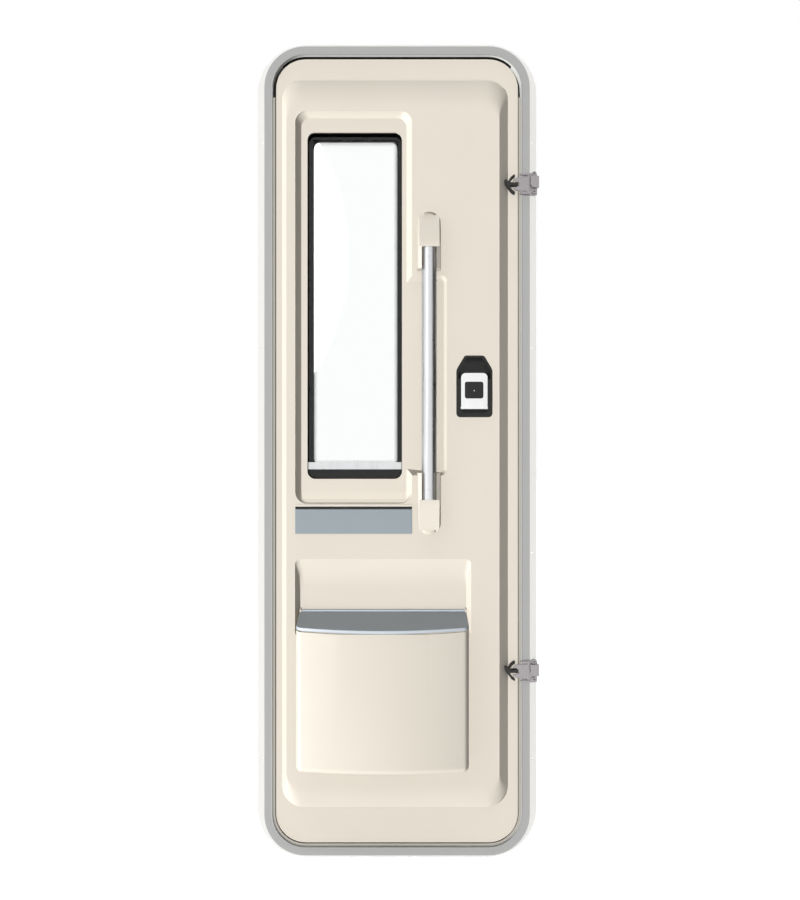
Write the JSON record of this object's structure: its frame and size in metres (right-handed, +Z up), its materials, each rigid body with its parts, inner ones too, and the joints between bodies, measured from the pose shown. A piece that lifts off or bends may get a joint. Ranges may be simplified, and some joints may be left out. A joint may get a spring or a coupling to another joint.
{
  "type": "caravan entry door",
  "caption": "Insulated caravan entry door in its frame, opening outwards, with a window, a grab bar, a pull latch and a lidded waste bin on its indoor face.",
  "frame": {"origin": "middle of the sill's outer flange, on the flange face that rests on the wall", "axes": "+Z up, +Y outdoors (the direction in which the leaf opens), +X to the right as seen from indoors"},
  "size_m": [0.624, 0.178, 1.82],
  "materials": {
    "frame_white": "white powder coat",
    "trim_grey": "satin grey",
    "seal_rubber": "matt black",
    "lip_grey": "soft grey",
    "striker_silver": "satin",
    "hinge_white": "white",
    "pin_steel": "bright",
    "skin_white": "white gel coat",
    "core_foam": "foam",
    "liner_cream": "fine-grained cream",
    "pane_clear": "clear acrylic",
    "window_black": "black",
    "bar_silver": "satin anodised",
    "screw_steel": "bright",
    "socket_cream": "satin cream",
    "cover_grey": "satin cool grey",
    "latch_black": "charcoal",
    "lever_silver": "silver paint",
    "bin_cream": "satin cream",
    "handle_black": "black",
    "key_chrome": "bright"
  },
  "bodies": {
    "frame": {"frame_head": "frame_white", "frame_sill": "frame_white", "frame_left_jamb": "frame_white", "frame_right_jamb": "frame_white", "frame_trim_ring": "trim_grey", "frame_seal": "seal_rubber", "frame_lip_seal": "lip_grey", "upper_striker_plate": "striker_silver", "upper_striker_block": "striker_silver", "lower_striker_plate": "striker_silver", "lower_striker_block": "striker_silver", "upper_hinge_frame_plate": "hinge_white", "lower_hinge_frame_plate": "hinge_white", "upper_hinge_pin": "pin_steel", "lower_hinge_pin": "pin_steel"},
    "leaf": {"window_gasket": "seal_rubber", "upper_hinge_leaf_plate": "hinge_white", "lower_hinge_leaf_plate": "hinge_white", "outer_skin": "skin_white", "leaf_edge_profile": "skin_white", "leaf_core": "core_foam", "liner": "liner_cream", "window_inner_pane": "pane_clear", "window_outer_pane": "pane_clear", "window_spacer": "window_black", "window_tunnel": "window_black", "blind_cassette": "window_black", "blind_slot_seal": "window_black", "grab_bar": "bar_silver", "blind_pull_bar": "bar_silver", "bar_screws": "screw_steel", "upper_bar_socket": "socket_cream", "lower_bar_socket": "socket_cream", "blind_lip": "socket_cream", "blind_cover": "cover_grey", "latch_bezel": "latch_black", "upper_catch": "latch_black", "lower_catch": "latch_black", "bin_bucket": "bin_cream", "outer_handle_plate": "handle_black", "outer_handle_grip": "handle_black", "key_cylinder": "key_chrome"},
    "lever": {"latch_lever": "lever_silver", "lever_inset": "latch_black"},
    "lid": {"bin_lid": "cover_grey"}
  },
  "joints": [
    {"name": "leaf_swing", "type": "hinge", "parent": "frame", "child": "leaf", "pos_m": [-0.287, 0.012, 0.9], "axis": [0, 0, 1], "range_deg": [0, 110]},
    {"name": "lever_pull", "type": "hinge", "parent": "leaf", "child": "lever", "pos_m": [0.17, -0.0445, 0.9945], "axis": [1, 0, 0], "range_deg": [0, 35], "stiffness_Nm_per_rad": 0.4, "springref_deg": -11.46},
    {"name": "lid_lift", "type": "hinge", "parent": "leaf", "child": "lid", "pos_m": [-0.0305, -0.039, 0.548], "axis": [-1, 0, 0], "range_deg": [0, 75]}
  ]
}
